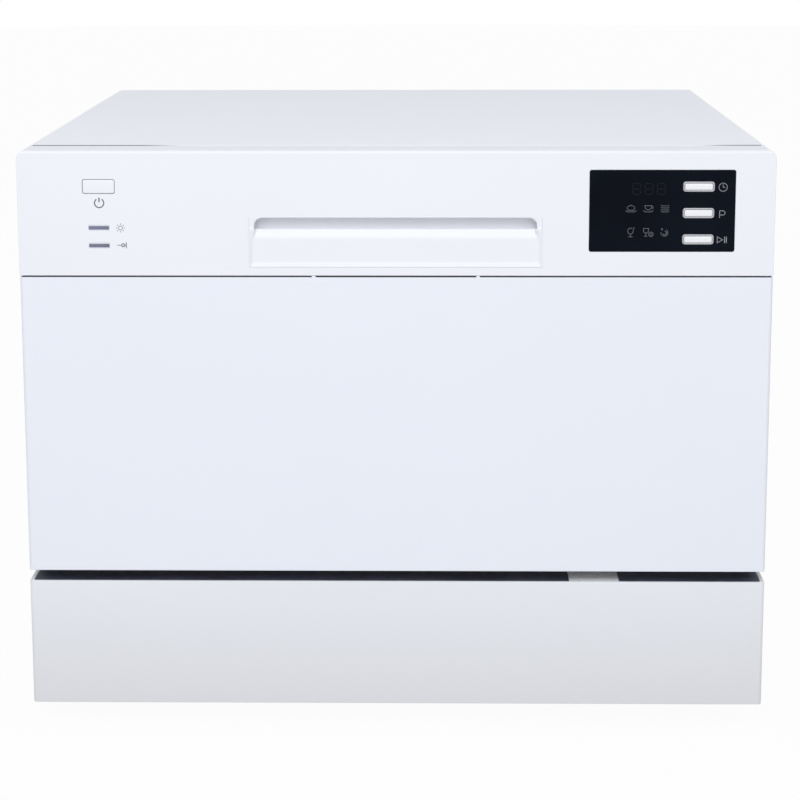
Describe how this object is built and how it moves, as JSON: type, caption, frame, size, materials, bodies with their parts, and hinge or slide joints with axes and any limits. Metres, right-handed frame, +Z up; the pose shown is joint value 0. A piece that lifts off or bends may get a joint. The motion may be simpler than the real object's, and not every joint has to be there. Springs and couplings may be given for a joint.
{
  "type": "countertop dishwasher",
  "caption": "White countertop dishwasher: drop-down door under a control console, stainless tub with spray arms, wire rack with tines, cup shelves and cutlery basket.",
  "frame": {"origin": "bottom centre of the machine, on the counter under the feet", "axes": "+Z up, -Y out of the door (front), +X to the right seen from the front"},
  "size_m": [0.55, 0.5, 0.438],
  "materials": {
    "white_steel": "semi-gloss white enamel",
    "white_plastic": "white moulded plastic, satin",
    "worktop_plastic": "white moulded lid, fine grain",
    "window_black": "glossy black",
    "key_silver": "silver-white keys",
    "lens_smoke": "smoked light bars",
    "stainless": "brushed stainless sheet",
    "zinc_steel": "zinc-plated steel",
    "galvanised": "galvanised sheet",
    "rubber_dark": "dark grey sealing rubber",
    "dark_plastic": "blue-black polypropylene",
    "base_plastic": "dark grey polypropylene",
    "grey_plastic": "grey polypropylene",
    "light_grey_plastic": "light grey plastic",
    "motor_black": "black motor casing",
    "pcb_green": "green circuit board",
    "coated_wire": "grey nylon-coated wire",
    "heater_steel": "heat-tinted steel tube"
  },
  "bodies": {
    "cabinet": {"worktop": "worktop_plastic", "side_panel_left": "white_steel", "side_panel_right": "white_steel", "rear_panel": "galvanised", "base_tray": "base_plastic", "plinth": "white_steel", "front_sill": "dark_plastic", "wire_guide": "light_grey_plastic", "feet": "base_plastic", "case_screws": "zinc_steel", "tub": "stainless", "rack_rails": "stainless", "tub_gasket": "rubber_dark", "sump": "grey_plastic", "flat_filter": "stainless", "heater": "heater_steel", "spray_hub": "grey_plastic", "upper_feed_pipe": "grey_plastic", "wash_pump": "motor_black", "drain_pump": "motor_black", "inlet_valve": "light_grey_plastic", "inlet_connector": "light_grey_plastic", "drain_spigot": "base_plastic", "cord_gland": "base_plastic", "air_break": "light_grey_plastic", "hinge_brackets": "zinc_steel", "hinge_springs": "zinc_steel", "latch_catch": "light_grey_plastic"},
    "door": {"outer_door_panel": "white_steel", "console": "white_plastic", "handle_grip": "white_plastic", "control_window": "window_black", "indicator_lenses": "lens_smoke", "control_boards": "pcb_green", "inner_door": "stainless", "door_seal": "rubber_dark", "latch_tongue": "zinc_steel", "hinge_arms": "zinc_steel", "dispenser_body": "light_grey_plastic"},
    "power_key": {"power_button": "white_plastic"},
    "delay_key": {"delay_button": "key_silver"},
    "program_key": {"program_button": "key_silver"},
    "start_key": {"start_button": "key_silver"},
    "detergent_lid": {"dispenser_lid": "grey_plastic"},
    "lid_release": {"dispenser_latch": "grey_plastic"},
    "rinse_cap": {"rinse_aid_cap": "grey_plastic"},
    "rack": {"rack_floor": "coated_wire", "rack_sides": "coated_wire", "rack_ends": "coated_wire", "plate_tines": "coated_wire"},
    "wheels_front": {"front_wheels": "grey_plastic"},
    "wheels_rear": {"rear_wheels": "grey_plastic"},
    "shelf_left": {"cup_shelf_left": "coated_wire"},
    "shelf_right": {"cup_shelf_right": "coated_wire"},
    "basket": {"cutlery_basket": "grey_plastic"},
    "filter": {"filter_cup": "grey_plastic"},
    "lower_arm": {"lower_spray_arm": "grey_plastic"},
    "upper_arm": {"upper_spray_arm": "grey_plastic"},
    "float": {"overflow_float": "light_grey_plastic"}
  },
  "joints": [
    {"name": "door_hinge", "type": "hinge", "parent": "cabinet", "child": "door", "pos_m": [0, -0.236, 0.136], "axis": [1, 0, 0], "range_deg": [0, 90], "stiffness_Nm_per_rad": 2, "springref_deg": -28.65},
    {"name": "power_press", "type": "slide", "parent": "door", "child": "power_key", "axis": [0, 1, 0], "range_m": [0, 0.0015], "stiffness_N_per_m": 350, "springref_m": -0.0006},
    {"name": "delay_press", "type": "slide", "parent": "door", "child": "delay_key", "axis": [0, 1, 0], "range_m": [0, 0.0015], "stiffness_N_per_m": 350, "springref_m": -0.0006},
    {"name": "program_press", "type": "slide", "parent": "door", "child": "program_key", "axis": [0, 1, 0], "range_m": [0, 0.0015], "stiffness_N_per_m": 350, "springref_m": -0.0006},
    {"name": "start_press", "type": "slide", "parent": "door", "child": "start_key", "axis": [0, 1, 0], "range_m": [0, 0.0015], "stiffness_N_per_m": 350, "springref_m": -0.0006},
    {"name": "lid_slide", "type": "slide", "parent": "door", "child": "detergent_lid", "axis": [0, 0, -1], "range_m": [0, 0.05]},
    {"name": "release_press", "type": "slide", "parent": "door", "child": "lid_release", "axis": [0, -1, 0], "range_m": [0, 0.002], "stiffness_N_per_m": 250, "springref_m": -0.0006},
    {"name": "cap_turn", "type": "hinge", "parent": "door", "child": "rinse_cap", "pos_m": [0.028, -0.218, 0.27192], "axis": [0, 1, 0], "range_deg": [0, 90]},
    {"name": "rack_slide", "type": "slide", "parent": "cabinet", "child": "rack", "axis": [0, -1, 0], "range_m": [0, 0.01]},
    {"name": "front_wheel_roll", "type": "hinge", "parent": "rack", "child": "wheels_front", "pos_m": [0, -0.146, 0.16535], "axis": [1, 0, 0], "continuous": true},
    {"name": "rear_wheel_roll", "type": "hinge", "parent": "rack", "child": "wheels_rear", "pos_m": [0, 0.134, 0.16535], "axis": [1, 0, 0], "continuous": true},
    {"name": "left_shelf_fold", "type": "hinge", "parent": "rack", "child": "shelf_left", "pos_m": [-0.2125, 0, 0.26705], "axis": [0, -1, 0], "range_deg": [0, 80]},
    {"name": "right_shelf_fold", "type": "hinge", "parent": "rack", "child": "shelf_right", "pos_m": [0.2125, 0, 0.26705], "axis": [0, 1, 0], "range_deg": [0, 80]},
    {"name": "basket_lift", "type": "slide", "parent": "rack", "child": "basket", "axis": [0, 0, 1], "range_m": [0, 0.06]},
    {"name": "filter_twist", "type": "hinge", "parent": "cabinet", "child": "filter", "pos_m": [0.105, 0.01, 0.118], "axis": [0, 0, 1], "range_deg": [0, 60]},
    {"name": "lower_arm_spin", "type": "hinge", "parent": "cabinet", "child": "lower_arm", "pos_m": [0, 0.01, 0.143], "axis": [0, 0, 1], "continuous": true},
    {"name": "upper_arm_spin", "type": "hinge", "parent": "cabinet", "child": "upper_arm", "pos_m": [0, 0.01, 0.378], "axis": [0, 0, 1], "continuous": true},
    {"name": "float_rise", "type": "slide", "parent": "cabinet", "child": "float", "axis": [0, 0, 1], "range_m": [0, 0.008]}
  ]
}
